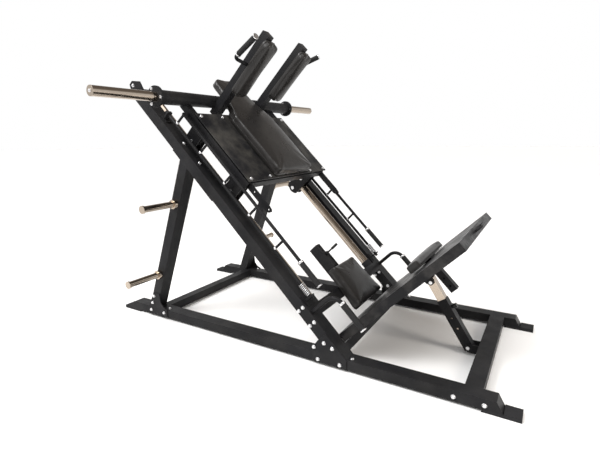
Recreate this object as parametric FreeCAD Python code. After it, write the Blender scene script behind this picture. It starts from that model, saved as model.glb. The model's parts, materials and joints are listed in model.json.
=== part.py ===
import FreeCAD
import Part
import math
import os

# Leg press and hack squat machine on a 45 degree sled, in millimetres.
# World frame: +X towards the foot end, +Y towards the left side, +Z up, origin on the
# floor at the middle of the base.  Parts carried by the inclined rails are drawn in the
# rail frame, where X runs down the slope, Y is the same Y, and Z stands square to the
# rails.  on_rail() turns them into the world frame about the origin.

Vector = FreeCAD.Vector
OUT = "parts"

# ---- driving dimensions ---------------------------------------------------------------
RAIL_ANGLE = 45.0          # slope of the sled rails
BASE_LENGTH = 2370.0       # over the rubber feet
SIDE_OUTER = 490.0         # outer face of base rails, uprights and inclined rails
TUBE_WIDE = 75.0           # frame tube, across Y
TUBE_HIGH = 60.0           # frame tube, other way
BASE_HIGH = 50.0           # base rail height
BASE_BOTTOM = 12.0         # base rails stand on rubber feet
WALL = 3.0                 # tube wall
PLATE = 5.0                # gusset plate
RAIL_TOP = 352.0           # upper face of the inclined rails, rail frame
RAIL_START = -1600.0       # upper end of the inclined rails
RAIL_FOOT = 600.0          # rails are drawn past the base, then cut level on it
UPRIGHT_LEAN = 20.5        # uprights lean forward from vertical
UPRIGHT_FOOT_X = -904.0    # middle of the upright's foot
ROD_Y = 378.0              # guide rod axis from the centre plane
ROD_N = 322.0              # guide rod axis above the rail frame's origin
ROD_R = 25.0               # guide rod radius
ROD_START = -1600.0
ROD_END = -45.0
SEAT_BEAM = (-45.0, 15.0)  # crossmember that carries the rods' lower ends
SLED_TOP_S = -1240.0       # upper edge of the sled plate
SLED_LOW_S = -735.0        # lower edge of the sled plate
SLED_PLATE_N = 516.0       # top of the sled plate
SLED_HALF = 428.0          # half width of the sled plate
SLED_TUBE = 40.0
SLED_BOTTOM = 457.0        # underside of the sled frame
AXLE_S = -1355.0           # cross tube of the sled
AXLE_N = 510.0             # high enough to pass over the safety ladders
AXLE_R = 37.0
FLANGE_Y = 612.0
FLANGE_R = 55.0
SLEEVE_R = 25.0            # 50 mm weight sleeves
SLEEVE_END = 982.0
TRUCKS = (-1180.0, -800.0)
ROLLER_GAP = 48.0          # guide rod axis to roller axis
ROLLER_R = 34.0
ROLLER_HALF = 22.0
AXLE_PIN_R = 8.0
LADDER_Y = 450.0           # safety ladder shaft
LADDER_N = 385.0
BAR_Y = 440.0              # ladder hand bar leans slightly inwards
BAR_N = 460.0
LADDER_R = 9.0
RUNG_R = 7.0
RUNG_S = [-1288.0 + 226.0 * i for i in range(5)]
SHOULDER_Y = 184.0         # shoulder posts and pads
POST_WIDE = 50.0
POST_S = (-1322.0, -1272.0)
SHOULDER_FACE = -1213.0
HANDLE_LOW = (-1326.0, -279.0, 838.0)   # bend of a shoulder hand rail
HANDLE_TOP = (-1249.0, -336.0, 1024.0)
PIVOT_S = 182.0            # foot plate hinge
PIVOT_N = 333.0
FOOT_HALF = 400.0
FOOT_FACE = 150.0          # front face of the foot plate
FOOT_TOP = 1108.0
FOOT_LOW = 322.0
FOOT_DEEP = 45.0
BOLSTER_N = 812.0          # lumbar bolster on the foot plate
CLEVIS_S = 243.0           # support bolt behind the foot plate
CLEVIS_N = 748.0
SUPPORT_FOOT = (905.0, 40.0)
POP_PIN = 215.0            # along the strut from its foot hinge
HOLE_PITCH = 30.0
BOLSTER_PITCH = 48.0
SEAT_TUBE_N = 342.0        # top face of the seat's index tube
LEVER_S = -247.0

BASE_TOP = BASE_BOTTOM + BASE_HIGH
SIDE_INNER = SIDE_OUTER - TUBE_WIDE
SIDE_MID = SIDE_OUTER - TUBE_WIDE / 2
RAIL_LOW = RAIL_TOP - TUBE_HIGH
X_TIP = BASE_LENGTH / 2
X_AXIS = Vector(1, 0, 0)
Y_AXIS = Vector(0, 1, 0)
Z_AXIS = Vector(0, 0, 1)
ORIGIN = Vector(0, 0, 0)


# ---- drawing helpers ------------------------------------------------------------------
def box(x, y, z):
    """Box from three (low, high) pairs."""
    size = (x[1] - x[0], y[1] - y[0], z[1] - z[0])
    return Part.makeBox(size[0], size[1], size[2], Vector(x[0], y[0], z[0]))


def rod(start, end, radius):
    """Round bar between two points."""
    a, b = Vector(*start), Vector(*end)
    return Part.makeCylinder(radius, (b - a).Length, a, b - a)


def ring(start, end, outer, inner):
    return rod(start, end, outer).cut(rod(start, end, inner))


def square_tube(x, y, z, along, wall=WALL):
    """Hollow rectangular tube, open at both ends of the axis named by along."""
    spans = [x, y, z]
    inner = [(low + wall, high - wall) for low, high in spans]
    inner["XYZ".index(along)] = spans["XYZ".index(along)]
    return box(*spans).cut(box(*inner))


def plate_xz(points, y):
    """Flat plate with an outline in the XZ plane, between two Y values."""
    corners = [Vector(px, y[0], pz) for px, pz in points]
    face = Part.Face(Part.makePolygon(corners + [corners[0]]))
    return face.extrude(Vector(0, y[1] - y[0], 0))


def on_rail(shape):
    turned = shape.copy()
    turned.rotate(ORIGIN, Y_AXIS, RAIL_ANGLE)
    return turned


def mirrored(shape):
    return shape.mirror(ORIGIN, Y_AXIS)


def pair(shape):
    """The right-hand shape, at -Y, and its left-hand twin."""
    return [shape, mirrored(shape)]


def fused(shapes):
    whole = shapes[0]
    if len(shapes) > 1:
        whole = shapes[0].multiFuse(shapes[1:])
    return whole.removeSplitter()


def bent_rod(points, radius, bend):
    """Round bar along straight runs joined by tangent arcs of radius bend."""
    points = [Vector(*p) for p in points]
    edges = []
    start = points[0]
    for before, corner, after in zip(points, points[1:], points[2:]):
        u = (before - corner).normalize()
        v = (after - corner).normalize()
        half = u.getAngle(v) / 2
        back = bend / math.tan(half)
        first = corner + u * back
        last = corner + v * back
        middle = (u + v).normalize()
        mid = corner + middle * (bend / math.sin(half) - bend)
        edges.append(Part.LineSegment(start, first).toShape())
        edges.append(Part.Arc(first, mid, last).toShape())
        start = last
    edges.append(Part.LineSegment(start, points[-1]).toShape())
    path = Part.Wire(edges)
    tangent = points[1] - points[0]
    section = Part.Wire([Part.Circle(points[0], tangent, radius).toShape()])
    return path.makePipeShell([section], True, False)


def hex_bolt(place, out, size=5.0, shank=14.0):
    """Hex head and washer standing on a face, with its shank running inwards."""
    place, out = Vector(*place), Vector(*out).normalize()
    washer = Part.makeCylinder(size * 2, 1.6, place, out)
    across = size * 1.85
    corners = []
    for i in range(7):
        turn = math.radians(60 * i)
        corners.append(Vector(across * math.cos(turn), across * math.sin(turn), 0))
    head = Part.Face(Part.makePolygon(corners)).extrude(Vector(0, 0, size * 1.25))
    dome = Part.makeCone(size * 2.15, size * 1.35, size * 1.25)
    head = head.common(dome)
    head.Placement = FreeCAD.Placement(place + out * 1.6, FreeCAD.Rotation(Z_AXIS, out))
    stem = Part.makeCylinder(size, shank + 1.6, place - out * shank, out)
    return fused([washer, head, stem])


def drilled(shape, bolts, size=5.0):
    """Cut clearance holes for the bolts given as (place, out) pairs."""
    for place, out in bolts:
        out = Vector(*out).normalize()
        start = Vector(*place) - out * 16
        shape = shape.cut(Part.makeCylinder(size + 0.4, 32, start, out))
    return shape


def rail_point(s, y, n):
    turn = math.radians(RAIL_ANGLE)
    x = s * math.cos(turn) + n * math.sin(turn)
    z = n * math.cos(turn) - s * math.sin(turn)
    return (x, y, z)


def save(name, shapes):
    shapes = shapes if isinstance(shapes, list) else [shapes]
    solids = [solid for shape in shapes for solid in shape.Solids]
    whole = solids[0] if len(solids) == 1 else Part.makeCompound(solids)
    if not whole.isValid():
        print("INVALID", name)
    whole.exportStep(os.path.join(OUT, name + ".step"))
    bounds = whole.BoundBox
    low = "%.0f %.0f %.0f" % (bounds.XMin, bounds.YMin, bounds.ZMin)
    high = "%.0f %.0f %.0f" % (bounds.XMax, bounds.YMax, bounds.ZMax)
    print("%-22s %2d solids  %s  to  %s" % (name, len(solids), low, high))


# ---- where the bolts go ---------------------------------------------------------------
OUTWARD = (0, -1, 0)
PLATE_FACE = -SIDE_OUTER - PLATE
UPRIGHT_BOLTS = [((x, PLATE_FACE, z), OUTWARD)
                 for x, z in ((-888, 138), (-905, 92), (-922, 42), (-808, 42))]
KNEE_BOLTS = [((x, PLATE_FACE, z), OUTWARD)
              for x, z in ((314, 123), (359, 105), (258, 90), (280, 30), (399, 30))]
BEAM_BOLTS = [(rail_point(s, -SIDE_OUTER, n), OUTWARD)
              for s in (-62, 28) for n in (RAIL_LOW + 11, RAIL_TOP - 16)]
FRONT_BOLTS = [((x, -SIDE_OUTER, 33), OUTWARD) for x in (924, 1046)]
DOWN_BOLTS = [((x, -SIDE_MID - 12, BASE_TOP), (0, 0, 1)) for x in (452, -790)]
TOP_BOLTS = [(rail_point(s, -SIDE_MID - 4, RAIL_TOP), rail_point(0, 0, 1))
             for s in (-1175, -1024)]
EAR_BOLTS = [(rail_point(-1690, -446, 310), OUTWARD)]
SLED_BOLTS = [(rail_point(s, y, SLED_PLATE_N), rail_point(0, 0, 1))
              for s in (SLED_TOP_S + 25, SLED_LOW_S - 16) for y in (-402, -225, 225, 402)]
FLANGE_THICK = 12.0
FLANGE_BOLTS = [(rail_point(AXLE_S + 44 * math.cos(math.radians(turn)), -FLANGE_Y - FLANGE_THICK,
                            AXLE_N + 44 * math.sin(math.radians(turn))), OUTWARD)
                for turn in (40, 160, 280)]
SLEEVE_BOLT = (rail_point(AXLE_S, -SLEEVE_END, AXLE_N), OUTWARD)
INNER_BOLTS = [(rail_point(s, -SIDE_INNER + 6, n), (0, 1, 0))
               for s, n in ((28, 338), (28, 303), (134, 322))]
BASE_BOLTS = UPRIGHT_BOLTS[2:] + KNEE_BOLTS[3:] + FRONT_BOLTS + DOWN_BOLTS


# ---- fixed frame ----------------------------------------------------------------------
def base_rail():
    top, low = X_TIP - 95, X_TIP - 67
    outline = [(-top, BASE_TOP), (top, BASE_TOP), (low, BASE_BOTTOM), (-low, BASE_BOTTOM)]
    rail = plate_xz(outline, (-SIDE_OUTER, -SIDE_INNER))
    inside = box((-top + 5, top - 5), (-SIDE_OUTER + WALL, -SIDE_INNER - WALL),
                 (BASE_BOTTOM + WALL, BASE_TOP - WALL))
    return drilled(rail.cut(inside), BASE_BOLTS)


def rubber_foot():
    """Rubber pad under a rail end, with a thicker lip past the end."""
    tread = box((X_TIP - 150, X_TIP - 67), (-SIDE_OUTER, -SIDE_INNER), (0, BASE_BOTTOM))
    lip = box((X_TIP - 67, X_TIP), (-SIDE_OUTER, -SIDE_INNER), (0, 19))
    return fused([tread, lip])


def cross_tube(x, z=(BASE_BOTTOM, BASE_TOP)):
    return square_tube(x, (-SIDE_INNER, SIDE_INNER), z, "Y")


def front_cross_tube():
    """Front crossmember with the two lugs of the support's lower hinge."""
    tube = cross_tube((956, 1031))
    px, pz = SUPPORT_FOOT
    lug = plate_xz([(956, 14), (956, 60), (px + 10, 60), (px - 14, 52), (px - 18, 34),
                    (px - 6, 22), (px + 20, 14)], (26, 32))
    lug = lug.cut(rod((px, 20, pz), (px, 40, pz), 6.05))
    return fused([tube, lug, mirrored(lug)])


def upright():
    half = TUBE_HIGH / 2
    across = (-SIDE_OUTER, -SIDE_INNER)
    tube = square_tube((-half, half), across, (-100, 1400), "Z")
    tube.rotate(ORIGIN, Y_AXIS, UPRIGHT_LEAN)
    tube.translate(Vector(UPRIGHT_FOOT_X, 0, BASE_TOP))
    big = 4000
    tube = tube.cut(box((-big, big), (-big, big), (-big, BASE_TOP)))
    tube = tube.cut(on_rail(box((-big, big), (-big, big), (RAIL_LOW - 6, big))))
    return drilled(tube, UPRIGHT_BOLTS[:2])


def upright_gusset():
    outline = [(-945, 14), (-782, 14), (-782, 64), (-812, 78), (-836, 104), (-842, 160),
               (-892, 160), (-945, 62)]
    return drilled(plate_xz(outline, (PLATE_FACE, -SIDE_OUTER)), UPRIGHT_BOLTS)


def knee_gusset():
    """Plate that ties the foot of an inclined rail to its base rail."""
    edge = rail_point(105, 0, RAIL_TOP - 1)
    under = rail_point(105, 0, RAIL_LOW - 1)
    outline = [(250, 14), (434, 14), (434, 62), (edge[0], edge[2]), (under[0], under[2]),
               (264, 108), (252, 84)]
    return drilled(plate_xz(outline, (PLATE_FACE, -SIDE_OUTER)), KNEE_BOLTS)


def doubler():
    """Plate between the upright's head and the rail."""
    return on_rail(box((-1190, -810), (-SIDE_OUTER, -SIDE_INNER), (RAIL_LOW - 6, RAIL_LOW)))


def rod_head():
    """Bracket on the rail's head: holds the guide rod, with an upstanding ear."""
    block = box((RAIL_START - 12, RAIL_START), (-SIDE_OUTER, -ROD_Y + 29), (RAIL_LOW, RAIL_TOP))
    outline = [(-1612, 294), (-1688, 276), (-1718, 292), (-1716, 322), (-1664, 364),
               (-1612, 350)]
    bracket = on_rail(fused([block, plate_xz(outline, (-446, -440))]))
    return drilled(bracket, EAR_BOLTS)


def incline_rail():
    across = (-SIDE_OUTER, -SIDE_INNER)
    tube = square_tube((RAIL_START, RAIL_FOOT), across, (RAIL_LOW, RAIL_TOP), "X")
    floor = box((0, 1000), (-500, 500), (-1000, BASE_TOP))
    return drilled(on_rail(tube).cut(floor), KNEE_BOLTS[:2] + BEAM_BOLTS + TOP_BOLTS)


def seat_beam():
    """Crossmember between the rails, with bolted end plates."""
    inner = SIDE_INNER
    tube = square_tube(SEAT_BEAM, (-inner + 6, inner - 6), (RAIL_LOW, RAIL_TOP), "Y")
    end = box((-80, 160), (-inner, -inner + 6), (RAIL_LOW, RAIL_TOP))
    end = drilled(on_rail(end), INNER_BOLTS)
    return fused([on_rail(tube), end, mirrored(end)])


def rail_cross_tube(s):
    inner = SIDE_INNER
    return on_rail(square_tube(s, (-inner, inner), (RAIL_LOW, RAIL_TOP), "Y"))


def guide_rod():
    a = (ROD_START, -ROD_Y, ROD_N)
    return on_rail(ring(a, (ROD_END, -ROD_Y, ROD_N), ROD_R, ROD_R - 5))


def rod_bumper():
    a = (ROD_END - 40, -ROD_Y, ROD_N)
    return on_rail(ring(a, (ROD_END, -ROD_Y, ROD_N), ROD_R + 5, ROD_R))


def ladder_bracket(s):
    """Lug on the rail with the ladder shaft's bearing hole."""
    lug = box((s, s + 8), (-LADDER_Y - 20, -LADDER_Y + 20), (RAIL_TOP + 4, LADDER_N + 20))
    lug = lug.makeFillet(14, [e for e in lug.Edges if e.CenterOfMass.z > LADDER_N + 19
                              and abs(e.CenterOfMass.x - s - 4) < 0.1])
    base = box((s - 26, s + 34), (-LADDER_Y - 22, -LADDER_Y + 22), (RAIL_TOP, RAIL_TOP + 4))
    hole = rod((s - 9, -LADDER_Y, LADDER_N), (s + 20, -LADDER_Y, LADDER_N), LADDER_R + 0.08)
    return on_rail(fused([lug, base]).cut(hole))


def ladder_spring():
    """Return spring coiled round the lower end of the ladder shaft."""
    coil, wire, turns, length = 15.5, 2.3, 8, 68.0
    helix = Part.makeHelix(length / turns, length, coil)
    section = Part.Wire([Part.Circle(Vector(coil, 0, 0), Y_AXIS, wire).toShape()])
    spring = Part.Wire(helix).makePipeShell([section], True, True)
    spring.rotate(ORIGIN, Y_AXIS, 90)
    spring.translate(Vector(-160, -LADDER_Y, LADDER_N))
    return on_rail(spring)


def side_handle():
    """Hand rail: rises from the rail and turns down the slope."""
    y, n = -465, 516
    points = [(-16, y, RAIL_TOP), (-16, y, n), (200, y, n)]
    return on_rail(bent_rod(points, 11, 62))


def side_grip():
    return on_rail(ring((48, -465, 516), (196, -465, 516), 16, 11))


def storage_peg(x, z):
    """Plate storage horn: shaft, root collar and end cap in one."""
    shaft = rod((x, -SIDE_OUTER, z), (x, -715, z), 18)
    collar = rod((x, -SIDE_OUTER, z), (x, -512, z), 27)
    cap = rod((x, -712, z), (x, -722, z), 22)
    return fused([shaft, collar, cap])


def seat_tube():
    """Fixed square tube with a row of index holes on top, for the seat."""
    tube = square_tube((-325, SEAT_BEAM[0]), (-22, 22), (SEAT_TUBE_N - 60, SEAT_TUBE_N), "X")
    for i in range(8):
        s = -305 + HOLE_PITCH * i
        tube = tube.cut(rod((s, 0, SEAT_TUBE_N - 8), (s, 0, SEAT_TUBE_N + 8), 6))
    return on_rail(tube)


def pivot_pin():
    """Foot plate hinge pin with its bright collar."""
    y = -SIDE_INNER
    pin = rod((PIVOT_S, y, PIVOT_N), (PIVOT_S, y + 35, PIVOT_N), 8)
    collar = rod((PIVOT_S, y, PIVOT_N), (PIVOT_S, y + 14, PIVOT_N), 14)
    head = rod((PIVOT_S, y + 20, PIVOT_N), (PIVOT_S, y + 28, PIVOT_N), 13)
    return on_rail(fused([pin, collar, head]))


def support_foot_pin():
    px, pz = SUPPORT_FOOT
    pin = rod((px, -38, pz), (px, 38, pz), 6)
    heads = [rod((px, side * 32.2, pz), (px, side * 39, pz), 9) for side in (-1, 1)]
    return fused([pin] + heads)


def frame_bolts():
    groups = UPRIGHT_BOLTS + KNEE_BOLTS + BEAM_BOLTS + FRONT_BOLTS + DOWN_BOLTS
    groups = groups + TOP_BOLTS
    bolts = [hex_bolt(place, out) for place, out in groups]
    bolts += [hex_bolt(place, out, shank=5.5) for place, out in EAR_BOLTS + INNER_BOLTS]
    return bolts + [mirrored(bolt) for bolt in bolts]


# ---- sled -----------------------------------------------------------------------------
def axle_cylinder(radius):
    return rod((AXLE_S, -FLANGE_Y, AXLE_N), (AXLE_S, FLANGE_Y, AXLE_N), radius)


def sled_frame():
    top = SLED_BOTTOM + SLED_TUBE
    z = (SLED_BOTTOM, top)
    parts = []
    for side in (-1, 1):
        y = sorted((side * 380, side * 420))
        parts.append(square_tube((AXLE_S, SLED_LOW_S), y, z, "X"))
        rim = sorted((side * 396, side * 408))
        parts.append(box((SLED_TOP_S + 10, SLED_LOW_S - 10), rim, (top, SLED_PLATE_N - 6)))
    for s in (SLED_TOP_S, -1000, SLED_LOW_S - SLED_TUBE):
        parts.append(square_tube((s, s + SLED_TUBE), (-380, 380), z, "Y"))
    for s in (SLED_TOP_S + 10, SLED_LOW_S - 22):
        parts.append(box((s, s + 12), (-396, 396), (top, SLED_PLATE_N - 6)))
    return on_rail(fused(parts).cut(axle_cylinder(AXLE_R)))


def sled_plate():
    z = (SLED_PLATE_N - 6, SLED_PLATE_N)
    plate = on_rail(box((SLED_TOP_S, SLED_LOW_S), (-SLED_HALF, SLED_HALF), z))
    return drilled(plate, SLED_BOLTS)


def sled_axle():
    """Cross tube that carries the weight sleeves."""
    return on_rail(axle_cylinder(AXLE_R).cut(axle_cylinder(AXLE_R - 4)))


def sleeve_flange():
    """Disc welded to an end of the cross tube, with the sleeve bolted through it."""
    face = -FLANGE_Y - FLANGE_THICK
    flange = on_rail(rod((AXLE_S, -FLANGE_Y, AXLE_N), (AXLE_S, face, AXLE_N), FLANGE_R))
    return drilled(flange, FLANGE_BOLTS, 4)


def weight_sleeve():
    start = (AXLE_S, -FLANGE_Y - FLANGE_THICK, AXLE_N)
    end = (AXLE_S, -SLEEVE_END, AXLE_N)
    bore = (AXLE_S, -SLEEVE_END + 6, AXLE_N)
    sleeve = on_rail(rod(start, end, SLEEVE_R).cut(rod(start, bore, SLEEVE_R - 4)))
    return drilled(sleeve, [SLEEVE_BOLT], 4)


def shoulder_post():
    """Square post for a shoulder pad, with its bent hand rail."""
    half = POST_WIDE / 2
    y = (-SHOULDER_Y - half, -SHOULDER_Y + half)
    outer = box(POST_S, y, (463, 1035))
    inside = (POST_S[0] + WALL, POST_S[1] - WALL)
    outer = outer.cut(box(inside, (y[0] + WALL, y[1] - WALL), (466, 1032)))
    post = outer.cut(axle_cylinder(AXLE_R))
    root = (HANDLE_LOW[0] + 39, y[0] + 2, HANDLE_LOW[2])
    handle = bent_rod([root, HANDLE_LOW, HANDLE_TOP], 10, 26)
    return on_rail(fused([post, handle]))


def shoulder_grip():
    a, b = Vector(*HANDLE_LOW), Vector(*HANDLE_TOP)
    along = (b - a).normalize()
    start, end = a + along * 44, b - along * 2
    return on_rail(ring(tuple(start), tuple(end), 15, 10))


def shoulder_pad():
    pad = box((POST_S[1], SHOULDER_FACE), (-SHOULDER_Y - 49, -SHOULDER_Y + 49), (664, 1016))
    corners = [e for e in pad.Edges if abs(e.Vertexes[0].X - e.Vertexes[-1].X) > 1]
    pad = pad.makeFillet(26, corners)
    rim = [e for e in pad.Edges if abs(e.BoundBox.XMin - SHOULDER_FACE) < 0.1]
    return on_rail(pad.makeFillet(10, rim))


def back_pad():
    """Tapered cushion: wide at the hips, narrow between the shoulder posts."""
    outline = [(-742, -190), (-1170, -190), (-1262, -152), (-1340, -124), (-1470, -112),
               (-1504, -76)]
    outline = outline + [(s, -y) for s, y in reversed(outline)]
    corners = [Vector(s, y, 534) for s, y in outline]
    face = Part.Face(Part.makePolygon(corners + [corners[0]]))
    upper = face.extrude(Vector(0, 0, 46))
    turned = [e for e in upper.Edges if e.Length > 45.9 and abs(e.CenterOfMass.z - 557) < 0.1
              and (e.CenterOfMass.x > -800 or e.CenterOfMass.x < -1450)]
    upper = upper.makeFillet(30, turned)
    lower = face.extrude(Vector(0, 0, SLED_PLATE_N - 534))
    lower = lower.common(box((-1235, 0), (-500, 500), (0, 534)))
    relief = axle_cylinder(AXLE_R + 0.5)
    return on_rail(fused([upper, lower]).cut(relief))


def truck_plates(s):
    """Cheek plates either side of a guide rod, hung under the sled frame."""
    plates = []
    for y in ((-ROD_Y - 32, -ROD_Y - 26), (-ROD_Y + 26, -ROD_Y + 32)):
        cheek = box((s - 45, s + 45), y, (ROD_N - ROLLER_GAP - 22, SLED_BOTTOM))
        low = [e for e in cheek.Edges if abs(e.CenterOfMass.z - 252) < 0.1
               and abs(abs(e.CenterOfMass.x - s) - 45) < 0.1]
        cheek = cheek.makeFillet(20, low)
        for n in (ROD_N - ROLLER_GAP, ROD_N + ROLLER_GAP):
            cheek = cheek.cut(rod((s, y[0] - 1, n), (s, y[1] + 1, n), AXLE_PIN_R))
        plates.append(on_rail(cheek))
    return plates


def roller_axle(s, n):
    shaft = rod((s, -ROD_Y - 32, n), (s, -ROD_Y + 38, n), AXLE_PIN_R)
    nut = rod((s, -ROD_Y + 32, n), (s, -ROD_Y + 38, n), 12)
    return on_rail(fused([shaft, nut]))


def roller(s, n):
    """Grooved wheel that rolls on the round guide rod."""
    y = (-ROD_Y - ROLLER_HALF, -ROD_Y + ROLLER_HALF)
    wheel = rod((s, y[0], n), (s, y[1], n), ROLLER_R)
    groove = Part.makeTorus(ROLLER_GAP, ROD_R + 0.4, Vector(s, -ROD_Y, n), Y_AXIS)
    bore = rod((s, y[0], n), (s, y[1], n), AXLE_PIN_R + 0.06)
    return on_rail(wheel.cut(groove).cut(bore))


def catch_plate():
    """Hook that parks the sled on the safety ladder."""
    outline = [(SLED_LOW_S, 462), (-575, 462), (-553, 470), (-545, 484), (-553, 494),
               (-575, 498), (SLED_LOW_S, 498)]
    plate = plate_xz(outline, (-404, -396))
    for s, n in ((-566, 481), (-690, 480)):
        plate = plate.cut(rod((s, -410, n), (s, -390, n), 6))
    return on_rail(plate)


def sled_bolts():
    bolts = [hex_bolt(place, out, shank=5.8) for place, out in SLED_BOLTS]
    for place, out in FLANGE_BOLTS:
        bolts += pair(hex_bolt(place, out, size=4, shank=11.8))
    return bolts + pair(hex_bolt(*SLEEVE_BOLT, size=4, shank=5.8))


# ---- safety ladders -------------------------------------------------------------------
def ladder():
    """Shaft, rungs and hand bar, welded up as one piece."""
    shaft = rod((-1392, -LADDER_Y, LADDER_N), (-66, -LADDER_Y, LADDER_N), LADDER_R)
    bar = rod((RUNG_S[0] - 8, -BAR_Y, BAR_N), (-92, -BAR_Y, BAR_N), LADDER_R)
    rungs = [rod((s, -LADDER_Y, LADDER_N), (s, -BAR_Y, BAR_N), RUNG_R)
             for s in RUNG_S]
    return on_rail(fused([shaft, bar] + rungs))


def ladder_grip():
    a, b = (-236, -BAR_Y, BAR_N), (-93, -BAR_Y, BAR_N)
    return on_rail(ring(a, b, 14.5, LADDER_R))


# ---- foot plate, bolster and support ---------------------------------------------------
def foot_plate():
    """Folded sheet with deep flanges, support lugs and the bolster's guide sleeve."""
    back = FOOT_FACE + FOOT_DEEP
    sheet = 4.0
    n = (FOOT_LOW, FOOT_TOP)
    parts = [box((FOOT_FACE, FOOT_FACE + sheet), (-FOOT_HALF, FOOT_HALF), n)]
    for side in (-1, 1):
        y = sorted((side * FOOT_HALF, side * (FOOT_HALF - sheet)))
        parts.append(box((FOOT_FACE, back), y, n))
        lug = [(FOOT_FACE, 724), (CLEVIS_S - 10, 724), (CLEVIS_S + 14, 738),
               (CLEVIS_S + 14, 758), (CLEVIS_S, 766), (FOOT_FACE, 766)]
        parts.append(plate_xz(lug, sorted((side * 26, side * 32))))
    parts.append(box((FOOT_FACE, back), (-FOOT_HALF, FOOT_HALF), (FOOT_TOP - sheet, FOOT_TOP)))
    low = (FOOT_LOW, FOOT_LOW + sheet)
    parts.append(box((FOOT_FACE, FOOT_FACE + 15), (-FOOT_HALF, FOOT_HALF), low))
    parts.append(box((FOOT_FACE, 225), (-26.5, 26.5), (BOLSTER_N - 26.5, BOLSTER_N + 26.5)))
    body = fused(parts)
    body = body.cut(box((0, 400), (-20.5, 20.5), (BOLSTER_N - 20.5, BOLSTER_N + 20.5)))
    body = body.cut(rod((CLEVIS_S, -50, CLEVIS_N), (CLEVIS_S, 50, CLEVIS_N), 6))
    pivot = (PIVOT_S, -500, PIVOT_N), (PIVOT_S, 500, PIVOT_N)
    return on_rail(body.cut(rod(pivot[0], pivot[1], 8.08)))


def clevis_pin():
    pin = rod((CLEVIS_S, -38, CLEVIS_N), (CLEVIS_S, 38, CLEVIS_N), 6)
    heads = [rod((CLEVIS_S, side * 32, CLEVIS_N), (CLEVIS_S, side * 38, CLEVIS_N), 9)
             for side in (-1, 1)]
    return on_rail(fused([pin] + heads))


def plate_handle():
    """Pull handle on the foot plate's upper edge."""
    n, s = FOOT_TOP, FOOT_FACE + 22
    points = [(s, -75, n), (s, -75, n + 34), (s, 75, n + 34), (s, 75, n)]
    return on_rail(bent_rod(points, 6, 22))


def bolster_tube():
    """Square tube that carries the bolster, with index holes in its sides."""
    z = (BOLSTER_N - 20, BOLSTER_N + 20)
    tube = square_tube((147, 347), (-20, 20), z, "X")
    flange = box((141, 147), (-45, 45), (BOLSTER_N - 30, BOLSTER_N + 30))
    tube = fused([tube, flange])
    for i in range(2):
        s = 267 + BOLSTER_PITCH * i
        tube = tube.cut(rod((s, -40, BOLSTER_N), (s, 40, BOLSTER_N), 6))
    return on_rail(tube)


def bolster_pad():
    pad = box((96, 141), (-235, 235), (BOLSTER_N - 34, BOLSTER_N + 34))
    edges = [e for e in pad.Edges if abs(e.CenterOfMass.x - 96) < 0.1]
    return on_rail(pad.makeFillet(10, edges))


def support_frame():
    """Placement with Z along the support, from its foot hinge to the clevis."""
    foot = Vector(SUPPORT_FOOT[0], 0, SUPPORT_FOOT[1])
    head = Vector(*rail_point(CLEVIS_S, 0, CLEVIS_N))
    turn = math.degrees(math.atan2(head.x - foot.x, head.z - foot.z))
    length = (head - foot).Length
    return FreeCAD.Placement(foot, FreeCAD.Rotation(Y_AXIS, turn)), length


def support_outer():
    place = support_frame()[0]
    tube = square_tube((-25, 25), (-25, 25), (-24, 270), "Z")
    tube = tube.cut(rod((0, -30, 0), (0, 30, 0), 6.08))
    tube = tube.cut(rod((20, 0, POP_PIN), (30, 0, POP_PIN), 6))
    for i in range(2):
        z = 165 - 2 * HOLE_PITCH * i
        tube = tube.cut(rod((0, -30, z), (0, 30, z), 5))
    tube = tube.cut(box((-40, -15), (-30, 30), (-30, -14)))
    tube = tube.cut(box((15, 40), (-30, 30), (-30, -14)))
    tube.Placement = place
    return tube


def support_inner():
    place, length = support_frame()
    tube = square_tube((-21.5, 21.5), (-21.5, 21.5), (95, length + 18), "Z")
    tube = tube.cut(rod((0, -30, length), (0, 30, length), 10))
    tube.Placement = place
    return tube


def support_pin():
    """Sprung pop pin that locks the support's length."""
    place = support_frame()[0]
    stem = rod((22.4, 0, POP_PIN), (34, 0, POP_PIN), 6)
    collar = rod((25, 0, POP_PIN), (34, 0, POP_PIN), 9)
    knob = rod((34, 0, POP_PIN), (52, 0, POP_PIN), 12)
    pin = fused([stem, collar, knob])
    pin.Placement = place
    return pin


# ---- seat -----------------------------------------------------------------------------
def seat_carriage():
    """Saddle that slides on the seat tube and carries the cushion."""
    parts = []
    for side in (-1, 1):
        y = sorted((side * 22.6, side * 27.6))
        parts.append(box((-262, -85), y, (290, 353)))
    parts.append(box((-262, -160), (-27.6, 27.6), (SEAT_TUBE_N + 0.6, SEAT_TUBE_N + 5)))
    parts.append(box((-130, 96), (-110, 110), (353, 358)))
    body = fused(parts)
    return on_rail(body.cut(rod((LEVER_S, 0, 330), (LEVER_S, 0, 360), 5.1)))


def seat_pad():
    """Cushion that widens towards the foot plate."""
    outline = [(-147, -132), (114, -166), (114, 166), (-147, 132)]
    corners = [Vector(s, y, 358) for s, y in outline]
    face = Part.Face(Part.makePolygon(corners + [corners[0]]))
    pad = face.extrude(Vector(0, 0, 58))
    return on_rail(pad.makeFillet(14, [e for e in pad.Edges if e.CenterOfMass.z > 415]))


def seat_lever():
    """Sprung index pin with an upright handle."""
    stem = rod((LEVER_S, 0, SEAT_TUBE_N + 0.8), (LEVER_S, 0, 442), 5)
    collar = rod((LEVER_S, 0, SEAT_TUBE_N + 5), (LEVER_S, 0, 360), 11)
    grip = rod((LEVER_S, 0, 402), (LEVER_S, 0, 445), 8)
    return on_rail(fused([stem, collar, grip]))


# ---- write the nodes ------------------------------------------------------------------
def save_pair(name, shape):
    save(name + "_right", shape)
    save(name + "_left", mirrored(shape))


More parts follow.
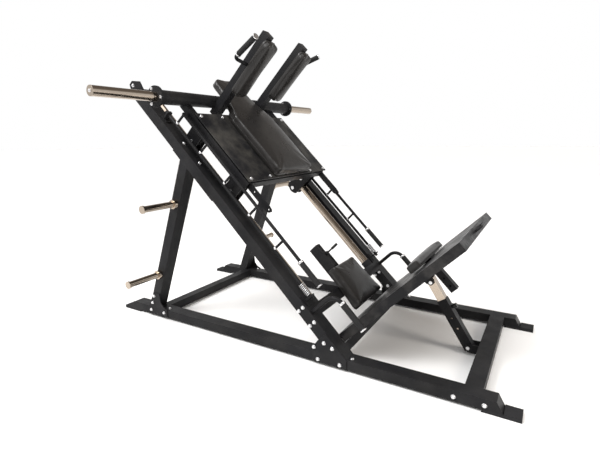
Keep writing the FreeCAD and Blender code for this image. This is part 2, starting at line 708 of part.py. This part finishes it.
def save_frame():
    save_pair("base_rail", base_rail())
    foot = rubber_foot()
    rear_foot = foot.mirror(ORIGIN, X_AXIS)
    save("rubber_feet", pair(foot) + pair(rear_foot))
    save("rear_cross_tube", cross_tube((-892, -832)))
    save("front_cross_tube", front_cross_tube())
    save_pair("upright", upright())
    plates = pair(upright_gusset()) + pair(knee_gusset()) + pair(doubler())
    save("gusset_plates", plates)
    save_pair("incline_rail", incline_rail())
    save("seat_crossmember", seat_beam())
    save("lower_cross_tube", rail_cross_tube((200, 240)))
    save("rod_heads", pair(rod_head()))
    save_pair("guide_rod", guide_rod())
    save("rod_bumpers", pair(rod_bumper()))
    save("ladder_brackets", pair(ladder_bracket(-1372)) + pair(ladder_bracket(-86)))
    save("ladder_springs", pair(ladder_spring()))
    save("side_handles", pair(side_handle()))
    save("side_handle_grips", pair(side_grip()))
    pegs = [storage_peg(-650, 740), storage_peg(-824, 291)]
    save("storage_pegs", pegs + [mirrored(peg) for peg in pegs])
    save("seat_tube", seat_tube())
    save("pivot_pins", pair(pivot_pin()) + [support_foot_pin()])
    save("frame_bolts", frame_bolts())


def save_sled():
    save("sled_frame", sled_frame())
    save("sled_plate", sled_plate())
    save("sled_axle_tube", sled_axle())
    save("sleeve_flanges", pair(sleeve_flange()))
    save("weight_sleeves", pair(weight_sleeve()))
    save("shoulder_posts", pair(shoulder_post()))
    save("shoulder_grips", pair(shoulder_grip()))
    save("shoulder_pads", pair(shoulder_pad()))
    save("back_pad", back_pad())
    cheeks, axles = [], []
    for s, where in zip(TRUCKS, ("upper", "lower")):
        for cheek in truck_plates(s):
            cheeks += pair(cheek)
        for n, side in ((ROD_N + ROLLER_GAP, "top"), (ROD_N - ROLLER_GAP, "bottom")):
            axles += pair(roller_axle(s, n))
            save_pair("roller_%s_%s" % (where, side), roller(s, n))
    save("truck_plates", cheeks)
    save("roller_axles", axles)
    save("catch_plates", pair(catch_plate()))
    save("sled_bolts", sled_bolts())


def save_rest():
    save_pair("ladder", ladder())
    save_pair("ladder_grip", ladder_grip())
    save("foot_plate", foot_plate())
    save("clevis_pin", clevis_pin())
    save("plate_handle", plate_handle())
    save("bolster_tube", bolster_tube())
    save("bolster_pad", bolster_pad())
    save("support_outer", support_outer())
    save("support_inner", support_inner())
    save("support_pin", support_pin())
    save("seat_carriage", seat_carriage())
    save("seat_pad", seat_pad())
    save("seat_lever", seat_lever())


os.makedirs(OUT, exist_ok=True)
save_frame()
save_sled()
save_rest()
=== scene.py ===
import json
import math

import bmesh
import bpy
import numpy as np
from mathutils import Matrix, Vector


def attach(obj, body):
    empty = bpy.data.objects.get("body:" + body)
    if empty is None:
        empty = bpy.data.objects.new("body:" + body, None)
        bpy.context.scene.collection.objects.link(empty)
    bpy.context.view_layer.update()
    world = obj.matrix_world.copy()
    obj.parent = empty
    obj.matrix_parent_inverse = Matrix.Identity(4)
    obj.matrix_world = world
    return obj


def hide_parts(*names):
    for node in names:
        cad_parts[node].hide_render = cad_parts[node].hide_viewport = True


# Looks for the leg press machine.  Everything is in metres in the row frame.  Pieces that
# sit on the slope are placed in the rail frame (s down the slope, y across, n square to
# the rails), in millimetres, and rail() turns them into the row frame.

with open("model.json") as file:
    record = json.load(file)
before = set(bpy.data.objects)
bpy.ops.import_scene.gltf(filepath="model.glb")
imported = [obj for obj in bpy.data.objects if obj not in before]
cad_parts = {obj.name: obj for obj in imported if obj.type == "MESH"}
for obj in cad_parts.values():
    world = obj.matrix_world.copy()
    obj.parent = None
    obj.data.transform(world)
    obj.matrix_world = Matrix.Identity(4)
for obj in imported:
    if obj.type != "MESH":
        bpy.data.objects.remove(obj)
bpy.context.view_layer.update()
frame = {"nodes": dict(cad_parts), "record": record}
NODES = frame["nodes"]
ROOT2 = math.sqrt(0.5)
MM = 0.001

CAMERA_AT = (1.1925, -2.187, 1.1098)
CAMERA_RIGHT = (0.8602, 0.5099, -0.0096)
CAMERA_UP = (-0.096, 0.1803, 0.9789)
CAMERA_BACK = (0.5009, -0.8411, 0.204)
LENS = 25.4


def rail(s, y, n):
    return Vector(((s + n) * ROOT2, y, (n - s) * ROOT2)) * MM


# ---- materials ------------------------------------------------------------------------
class Shader:
    """A principled material whose nodes are added by short calls."""

    def __init__(self, name, color, rough, metal=0.0, shine=0.5):
        self.mat = bpy.data.materials.new(name)
        self.mat.use_nodes = True
        self.tree = self.mat.node_tree
        self.bsdf = self.tree.nodes["Principled BSDF"]
        self.coord = self.node("ShaderNodeTexCoord").outputs["Object"]
        self.normal = None
        self.bsdf.inputs["Base Color"].default_value = (*color, 1)
        self.bsdf.inputs["Roughness"].default_value = rough
        self.bsdf.inputs["Metallic"].default_value = metal
        self.bsdf.inputs["Specular IOR Level"].default_value = shine

    def node(self, kind, **inputs):
        made = self.tree.nodes.new(kind)
        for key, value in inputs.items():
            made.inputs[key.replace("_", " ")].default_value = value
        return made

    def link(self, a, b):
        self.tree.links.new(a, b)

    def noise(self, scale, detail=4.0, rough=0.6, stretch=None):
        tex = self.node("ShaderNodeTexNoise", Scale=scale, Detail=detail, Roughness=rough)
        source = self.coord
        if stretch:
            mapping = self.node("ShaderNodeMapping", Scale=stretch)
            self.link(self.coord, mapping.inputs["Vector"])
            source = mapping.outputs["Vector"]
        self.link(source, tex.inputs["Vector"])
        return tex.outputs["Fac"]

    def cells(self, scale, feature="F1"):
        tex = self.node("ShaderNodeTexVoronoi", Scale=scale)
        tex.feature = feature
        self.link(self.coord, tex.inputs["Vector"])
        return tex.outputs["Distance"]

    def ramp(self, fac, stops):
        made = self.node("ShaderNodeValToRGB")
        self.link(fac, made.inputs["Fac"])
        ramp = made.color_ramp
        while len(ramp.elements) < len(stops):
            ramp.elements.new(0.5)
        for element, (pos, color) in zip(ramp.elements, stops):
            element.position = pos
            element.color = (*color, 1) if isinstance(color, tuple) else (color,) * 3 + (1,)
        return made.outputs["Color"]

    def rough(self, fac, low, high):
        self.link(self.ramp(fac, [(0.3, low), (0.7, high)]), self.bsdf.inputs["Roughness"])

    def mix(self, fac, a, b):
        made = self.node("ShaderNodeMix")
        made.data_type = "RGBA"
        self.link(fac, made.inputs["Factor"])
        for value, key in ((a, "A"), (b, "B")):
            socket = [i for i in made.inputs if i.name == key and i.type == "RGBA"][0]
            if isinstance(value, tuple):
                socket.default_value = (*value, 1)
            else:
                self.link(value, socket)
        return [o for o in made.outputs if o.type == "RGBA"][0]

    def color(self, socket):
        self.link(socket, self.bsdf.inputs["Base Color"])

    def round_edges(self, radius=0.0012):
        bevel = self.node("ShaderNodeBevel", Radius=radius)
        bevel.samples = 4
        self.normal = bevel.outputs["Normal"]
        self.link(self.normal, self.bsdf.inputs["Normal"])
        return self

    def edges(self, low=0.94, high=0.995):
        """White on sharp edges, from how far the rounded normal leans."""
        geo = self.node("ShaderNodeNewGeometry")
        dot = self.node("ShaderNodeVectorMath")
        dot.operation = "DOT_PRODUCT"
        self.link(self.normal, dot.inputs[0])
        self.link(geo.outputs["True Normal"], dot.inputs[1])
        return self.ramp(dot.outputs["Value"], [(low, 1.0), (high, 0.0)])

    def bump(self, height, distance, strength=1.0):
        made = self.node("ShaderNodeBump", Strength=strength, Distance=distance)
        self.link(height, made.inputs["Height"])
        if self.normal:
            self.link(self.normal, made.inputs["Normal"])
        self.normal = made.outputs["Normal"]
        self.link(self.normal, self.bsdf.inputs["Normal"])
        return self


def powder(name, base, grain, dust=0.0):
    """Textured powder coat with dull patches, worn edges and a little dust."""
    m = Shader(name, base, 0.4, shine=0.09).round_edges()
    m.rough(m.noise(9), 0.3, 0.5)
    light = tuple(c * 1.6 + 0.003 for c in base)
    body = m.mix(m.ramp(m.noise(5), [(0.35, 0.0), (0.75, 1.0)]), base, light)
    worn = m.mix(m.noise(60), (0.0, 0.0, 0.0), (1.0, 1.0, 1.0))
    wear = m.node("ShaderNodeMath")
    wear.operation = "MULTIPLY"
    m.link(m.edges(), wear.inputs[0])
    m.link(m.ramp(worn, [(0.5, 0.0), (0.64, 0.45)]), wear.inputs[1])
    body = m.mix(wear.outputs["Value"], body, (0.09, 0.09, 0.09))
    if dust:
        film = m.ramp(m.noise(7, 8), [(0.42, 0.0), (0.7, dust)])
        body = m.mix(film, body, (0.16, 0.15, 0.13))
    m.color(body)
    m.bump(m.noise(420, 2), 0.0006 * grain, 0.5)
    return m.mat


def tread(name, base):
    """Coarse embossed powder coat, for the plates a foot or a body bears on."""
    m = Shader(name, base, 0.4, shine=0.12).round_edges()
    m.rough(m.noise(16), 0.28, 0.5)
    film = m.ramp(m.noise(11, 8), [(0.45, 0.0), (0.75, 0.2)])
    m.color(m.mix(film, base, (0.16, 0.15, 0.14)))
    m.bump(m.ramp(m.cells(55, "SMOOTH_F1"), [(0.15, 1.0), (0.5, 0.0)]), 0.0012, 0.5)
    m.bump(m.noise(420, 2), 0.0005, 0.4)
    return m.mat


def polished(name, tint, low, high, stretch=(1, 1, 1)):
    """Bright metal with hairlines and a faint smear of oil."""
    m = Shader(name, tint, low, 1.0).round_edges(0.0006)
    m.rough(m.noise(14, 6, stretch=stretch), low, high)
    darker = tuple(c * 0.8 for c in tint)
    m.color(m.mix(m.noise(5), tint, darker))
    m.bump(m.noise(700, 2, stretch=stretch), 0.0001, 0.25)
    return m.mat


def moulded(name, base, rough, grain):
    m = Shader(name, base, rough, shine=0.2).round_edges(0.0008)
    m.rough(m.noise(22), rough - 0.08, rough + 0.1)
    m.color(m.mix(m.noise(10), base, tuple(c * 1.5 + 0.003 for c in base)))
    m.bump(m.noise(grain, 3), 0.0004, 0.5)
    return m.mat


VINYL_BLACK = (0.011, 0.0105, 0.010)


def upholstery(name):
    """Black vinyl: fine leather grain, broad handling marks and a soft sheen."""
    m = Shader(name, VINYL_BLACK, 0.3, shine=0.25)
    m.rough(m.noise(12, 6), 0.24, 0.42)
    m.color(m.mix(m.noise(4), VINYL_BLACK, (0.022, 0.020, 0.019)))
    m.bsdf.inputs["Coat Weight"].default_value = 0.14
    m.bsdf.inputs["Coat Roughness"].default_value = 0.18
    m.bump(m.cells(520), 0.0002, 0.2)
    m.bump(m.noise(26, 3), 0.001, 0.14)
    return m.mat


def knurled(name):
    """Grip rubber with fine moulded pimples."""
    m = Shader(name, (0.01, 0.01, 0.01), 0.6, shine=0.2)
    m.rough(m.noise(30), 0.5, 0.75)
    m.color(m.mix(m.noise(18), (0.008, 0.008, 0.009), (0.018, 0.018, 0.018)))
    m.bump(m.cells(330), 0.0008, 0.7)
    return m.mat


FRAME_BLACK = (0.009, 0.009, 0.010)
COAT = powder("powder_coat", FRAME_BLACK, 1.0, 0.05)
DUSTY = powder("dusty_coat", FRAME_BLACK, 1.3, 0.3)
TREAD = tread("tread_coat", FRAME_BLACK)
CHROME = polished("chrome", (0.46, 0.39, 0.32), 0.1, 0.2, (1, 9, 1))
ZINC = polished("zinc", (0.74, 0.74, 0.75), 0.2, 0.36)
RUBBER = moulded("black_rubber", (0.011, 0.011, 0.012), 0.7, 300)
PLASTIC = moulded("roller_plastic", (0.014, 0.014, 0.015), 0.4, 500)
KNOB = moulded("knob_plastic", (0.012, 0.012, 0.012), 0.26, 600)
GRIP = knurled("grip_rubber")
VINYL = upholstery("vinyl")

FINISH = {"powder_coat": COAT, "chrome": CHROME, "zinc": ZINC, "black_rubber": RUBBER,
          "vinyl": VINYL, "roller_plastic": PLASTIC, "knob_plastic": KNOB}
SPECIAL = {"foot_plate": TREAD, "sled_plate": DUSTY, "ladder_springs": ZINC,
           "side_handle_grips": GRIP, "shoulder_grips": GRIP, "ladder_grip_left": GRIP,
           "ladder_grip_right": GRIP}


def paint(obj, material):
    obj.data.materials.clear()
    obj.data.materials.append(material)


SLOTS = {row["node"]: row["material_slot"] for row in frame["record"]["subparts"]}
for node, carried in NODES.items():
    paint(carried, SPECIAL.get(node, FINISH[SLOTS[node]]))


# ---- small built pieces ---------------------------------------------------------------
def finish_piece(obj, body, material):
    paint(obj, material)
    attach(obj, body)
    return obj


def lathe(name, start, end, profile, body, material, around=48):
    """Turned piece: profile is (distance along, radius) pairs in millimetres."""
    axis = (end - start).normalized()
    side = axis.orthogonal().normalized()
    other = axis.cross(side)
    verts, faces = [], []
    for along, radius in profile:
        for i in range(around):
            turn = 2 * math.pi * i / around
            ray = side * math.cos(turn) + other * math.sin(turn)
            verts.append(start + axis * along * MM + ray * radius * MM)
    for row in range(len(profile) - 1):
        for i in range(around):
            j = (i + 1) % around
            a, b = row * around, (row + 1) * around
            faces.append((a + i, a + j, b + j, b + i))
    faces.append(tuple(reversed(range(around))))
    last = (len(profile) - 1) * around
    faces.append(tuple(last + i for i in range(around)))
    mesh = bpy.data.meshes.new(name)
    mesh.from_pydata([tuple(v) for v in verts], [], faces)
    for polygon in mesh.polygons:
        polygon.use_smooth = len(polygon.vertices) == 4
    obj = bpy.data.objects.new(name, mesh)
    bpy.context.collection.objects.link(obj)
    return finish_piece(obj, body, material)


def collar(name, start, along, length, radius, body):
    """Bright clamp ring with softened rims."""
    soft = 1.0
    profile = [(0, radius - soft), (soft, radius), (length - soft, radius),
               (length, radius - soft)]
    return lathe(name, start, start + along, profile, body, ZINC)


def tube(name, points, radius, body, material, closed=False):
    """Round cord through points."""
    curve = bpy.data.curves.new(name, "CURVE")
    curve.dimensions = "3D"
    curve.bevel_depth = radius * MM
    curve.bevel_resolution = 3
    spline = curve.splines.new("POLY")
    spline.points.add(len(points) - 1)
    for point, place in zip(spline.points, points):
        point.co = (*place, 1)
    spline.use_cyclic_u = closed
    obj = bpy.data.objects.new(name, curve)
    bpy.context.collection.objects.link(obj)
    return finish_piece(obj, body, material)


# ---- cushions -------------------------------------------------------------------------
VOXEL = 6.0            # remesh size of a cover
SETTLE_FRAMES = 20     # length of the inflation
BOARD_GRIP = 4.0       # depth of cover that is stapled to the board
SLACK = 0.6            # share of the swelling taken off before it
PIPING_R = 2.2         # sewn cord round a cushion


def to_rail(co):
    x, y, z = co[:, 0], co[:, 1], co[:, 2]
    return np.stack([(x - z) * ROOT2, y, (x + z) * ROOT2], axis=1) / MM


def from_rail(co):
    s, y, n = co[:, 0], co[:, 1], co[:, 2]
    return np.stack([(s + n) * ROOT2, y, (n - s) * ROOT2], axis=1) * MM


def coordinates(mesh):
    flat = np.empty(len(mesh.vertices) * 3)
    mesh.vertices.foreach_get("co", flat)
    return flat.reshape(-1, 3)


def evaluated(obj):
    """The object's mesh with its modifiers applied."""
    graph = bpy.context.evaluated_depsgraph_get()
    return bpy.data.meshes.new_from_object(obj.evaluated_get(graph))


def inflate(obj, board, cap):
    """Blow the cover up as cloth fixed to its board; no point travels more than cap mm."""
    start = coordinates(obj.data)
    obj.vertex_groups.new(name="board").add([int(i) for i in board], 1.0, "REPLACE")
    cloth = obj.modifiers.new("cloth", "CLOTH")
    vinyl = cloth.settings
    vinyl.quality = 4
    vinyl.mass = 0.3
    vinyl.tension_stiffness = 15
    vinyl.compression_stiffness = 15
    vinyl.shear_stiffness = 5
    vinyl.bending_stiffness = 0.5
    vinyl.use_pressure = True
    vinyl.uniform_pressure_force = 4
    vinyl.effector_weights.gravity = 0
    vinyl.vertex_group_mass = "board"
    cloth.point_cache.frame_start = 1
    cloth.point_cache.frame_end = SETTLE_FRAMES
    for moment in range(1, SETTLE_FRAMES + 1):
        bpy.context.scene.frame_set(moment)
    mesh = evaluated(obj)
    travel = coordinates(mesh) - start
    reach = np.linalg.norm(travel, axis=1).max() / MM
    mesh.vertices.foreach_set("co", (start + travel * min(1.0, cap / reach)).ravel())
    obj.modifiers.clear()
    obj.vertex_groups.clear()
    obj.data = mesh
    bpy.context.scene.frame_set(1)


def cushion(name, node, body, face_axis, out, cap, side=0, board=None):
    """A padded copy of a CAD cushion, inflated as cloth over its backing board.
    face_axis is 0 for s or 2 for n; out is the sign the soft face looks towards; side picks
    one of a left and right pair; board is the level of the cover's underside, if the
    backing board stands below it."""
    source = NODES[node]
    obj = source.copy()
    obj.data = source.data.copy()
    obj.name = name
    for key in list(obj.keys()):
        del obj[key]
    bpy.context.collection.objects.link(obj)
    obj.parent = None
    obj.matrix_world = source.matrix_world.copy()
    obj.hide_render = obj.hide_viewport = False
    if side:
        shape = bmesh.new()
        shape.from_mesh(obj.data)
        wrong = [v for v in shape.verts if v.co.y * side < 0]
        bmesh.ops.delete(shape, geom=wrong, context="VERTS")
        shape.to_mesh(obj.data)
        shape.free()
    remesh = obj.modifiers.new("remesh", "REMESH")
    remesh.mode = "VOXEL"
    remesh.voxel_size = VOXEL * MM
    smooth = obj.modifiers.new("smooth", "SMOOTH")
    smooth.factor = 0.5
    smooth.iterations = 8
    mesh = evaluated(obj)
    obj.modifiers.clear()
    obj.data = mesh
    local = to_rail(coordinates(mesh))
    depth = local[:, face_axis] * out
    floor_level, face_level = depth.min(), depth.max()
    # start a little slack, so the swollen cover ends at the cushion's real thickness
    rise = (depth - floor_level) / (face_level - floor_level)
    local[:, face_axis] -= out * rise * cap * SLACK
    mesh.vertices.foreach_set("co", from_rail(local).ravel())
    stapled = depth < (floor_level if board is None else board) + BOARD_GRIP
    inflate(obj, np.where(stapled)[0], cap)
    subdivision = obj.modifiers.new("subdivision", "SUBSURF")
    subdivision.levels = subdivision.render_levels = 1
    mesh = evaluated(obj)
    obj.modifiers.clear()
    obj.data = mesh
    for polygon in mesh.polygons:
        polygon.use_smooth = True
    finish_piece(obj, body, VINYL)
    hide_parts(node)
    return obj


def rounded(corners, radius, steps=6):
    """Outline with its corners turned on an arc, as 2-D points."""
    made = []
    count = len(corners)
    for i, corner in enumerate(corners):
        before, after = Vector(corners[i - 1]), Vector(corners[(i + 1) % count])
        here = Vector(corner)
        u, v = (before - here).normalized(), (after - here).normalized()
        for k in range(steps + 1):
            t = k / steps
            a, b = here + u * radius * (1 - t), here + v * radius * t
            made.append(a * (1 - t) + b * t)
    return made


def flat_outline(half_widths, level):
    """Closed outline over the slope from (s, half width) stations."""
    right = [(s, -w) for s, w in half_widths]
    left = [(s, w) for s, w in reversed(half_widths)]
    return [rail(p.x, p.y, level) for p in rounded(right + left, 24)]


cushion("back_cushion", "back_pad", "sled", 2, 1, 10, board=534)
cushion("seat_cushion", "seat_pad", "seat", 2, 1, 9)
cushion("bolster_cushion", "bolster_pad", "bolster", 0, -1, 8)
for label, sign in (("right", -1), ("left", 1)):
    cushion("shoulder_cushion_" + label, "shoulder_pads", "sled", 0, 1, 9, sign)

BACK_LINE = [(-743, 189), (-1170, 189), (-1262, 151), (-1340, 123), (-1470, 111), (-1503, 75)]
SEAT_LINE = [(-146, 131), (113, 165)]
tube("back_piping", flat_outline(BACK_LINE, 538), PIPING_R, "sled", VINYL, True)
tube("seat_piping", flat_outline(SEAT_LINE, 362), PIPING_R, "seat", VINYL, True)
BOLSTER_LINE = [(-234, 779), (234, 779), (234, 845), (-234, 845)]
pipe = [rail(137, p.x, p.y) for p in rounded(BOLSTER_LINE, 10)]
tube("bolster_piping", pipe, PIPING_R, "bolster", VINYL, True)
for label, sign in (("right", -1), ("left", 1)):
    corners = [(sign * 136, 665), (sign * 232, 665), (sign * 232, 1015), (sign * 136, 1015)]
    ring = [rail(-1256, p.x, p.y) for p in rounded(corners, 24)]
    tube("shoulder_piping_" + label, ring, PIPING_R, "sled", VINYL, True)


# ---- collars, caps and nuts -----------------------------------------------------------
DOWN = rail(1, 0, 0) / MM
HANDLE_Y, HANDLE_N = 465, 516      # straight part of a side handle
BAR_Y, BAR_N = 440, 460            # hand bar of a ladder
RUNG_TOP_S, RUNG_PITCH, RUNG_COUNT = -1288, 226, 5
for label, sign in (("right", -1), ("left", 1)):
    hand = "ladder_" + label[0]
    collar("handle_collar_" + label, rail(38, sign * HANDLE_Y, HANDLE_N), DOWN, 12, 18, "frame")
    collar("handle_cap_" + label, rail(195, sign * HANDLE_Y, HANDLE_N), DOWN, 7, 18, "frame")
    collar("ladder_collar_" + label, rail(-246, sign * BAR_Y, BAR_N), DOWN, 11, 16, hand)
    collar("ladder_cap_" + label, rail(-94, sign * BAR_Y, BAR_N), DOWN, 6, 16, hand)
    low, top = rail(-1326, sign * 279, 838), rail(-1249, sign * 336, 1024)
    along = (top - low).normalized()
    collar("grip_collar_" + label, low + along * 34 * MM, along, 10, 16, "sled")
    collar("grip_cap_" + label, top - along * 3 * MM, along, 6, 16.5, "sled")
    for i in range(RUNG_COUNT):
        foot = rail(RUNG_TOP_S + RUNG_PITCH * i, sign * 449.5, 389)
        aim = rail(0, -sign * 10, 75).normalized()
        dome = [(0, 8.5), (5, 9.6), (11, 9.6), (14, 7.6)]
        lathe("rung_nut_%s_%d" % (label, i + 1), foot, foot + aim, dome, hand, ZINC, 24)


# ---- floor, light and camera ----------------------------------------------------------
WALL = (1.0, 1.0, 1.0, 1)


def make_floor():
    m = Shader("floor_paint", (0.93, 0.93, 0.93), 0.6)
    m.color(m.mix(m.noise(2), (0.92, 0.92, 0.92), (0.94, 0.94, 0.935)))
    mesh = bpy.data.meshes.new("floor")
    half = 45
    mesh.from_pydata([(-half, -half, 0), (half, -half, 0), (half, half, 0), (-half, half, 0)],
                     [], [(0, 1, 2, 3)])
    floor = bpy.data.objects.new("floor", mesh)
    bpy.context.collection.objects.link(floor)
    paint(floor, m.mat)


def sun(strength, softness):
    data = bpy.data.lights.new("sun", "SUN")
    data.energy = strength
    data.angle = softness
    lamp = bpy.data.objects.new("sun", data)
    lamp.rotation_euler = (0.25, -0.2, 0)
    bpy.context.collection.objects.link(lamp)


def area_light(name, place, aim, size, power, color=(1, 1, 1)):
    data = bpy.data.lights.new(name, "AREA")
    data.shape = "RECTANGLE"
    data.size, data.size_y = size
    data.energy = power
    data.color = color
    lamp = bpy.data.objects.new(name, data)
    lamp.location = place
    lamp.rotation_euler = (Vector(aim) - Vector(place)).to_track_quat("-Z", "Y").to_euler()
    bpy.context.collection.objects.link(lamp)


def make_world():
    """Studio: bright walls down to the floor, darker warm ceiling for the metal to reflect."""
    world = bpy.data.worlds.new("studio")
    world.use_nodes = True
    tree = world.node_tree
    shade = tree.nodes["Background"]
    coord = tree.nodes.new("ShaderNodeTexCoord")
    split = tree.nodes.new("ShaderNodeSeparateXYZ")
    ramp = tree.nodes.new("ShaderNodeValToRGB")
    tree.links.new(coord.outputs["Generated"], split.inputs["Vector"])
    tree.links.new(split.outputs["Z"], ramp.inputs["Fac"])
    tree.links.new(ramp.outputs["Color"], shade.inputs["Color"])
    stops = [(0.0, WALL), (0.34, WALL), (0.52, (0.30, 0.27, 0.24, 1)), (1.0, (0.14, 0.12, 0.11, 1))]
    elements = ramp.color_ramp.elements
    while len(elements) < len(stops):
        elements.new(0.5)
    for element, (position, color) in zip(elements, stops):
        element.position = position
        element.color = color
    bpy.context.scene.world = world


def make_camera():
    data = bpy.data.cameras.new("camera")
    data.lens = LENS
    data.sensor_width = 36
    data.clip_end = 60
    camera = bpy.data.objects.new("camera", data)
    columns = Matrix((CAMERA_RIGHT, CAMERA_UP, CAMERA_BACK)).transposed()
    camera.matrix_world = Matrix.Translation(CAMERA_AT) @ columns.to_4x4()
    bpy.context.collection.objects.link(camera)
    bpy.context.scene.camera = camera


make_floor()
make_world()
make_camera()
area_light("key", (-2.0, -3.5, 4.5), (0, 0, 0.4), (2.0, 2.0), 210)
area_light("fill", (4.5, -0.5, 3.0), (0.2, 0, 0.4), (1.6, 2.2), 90, (1.0, 0.93, 0.85))
sun(2.6, 1.2)
bpy.context.scene.view_settings.view_transform = "Standard"
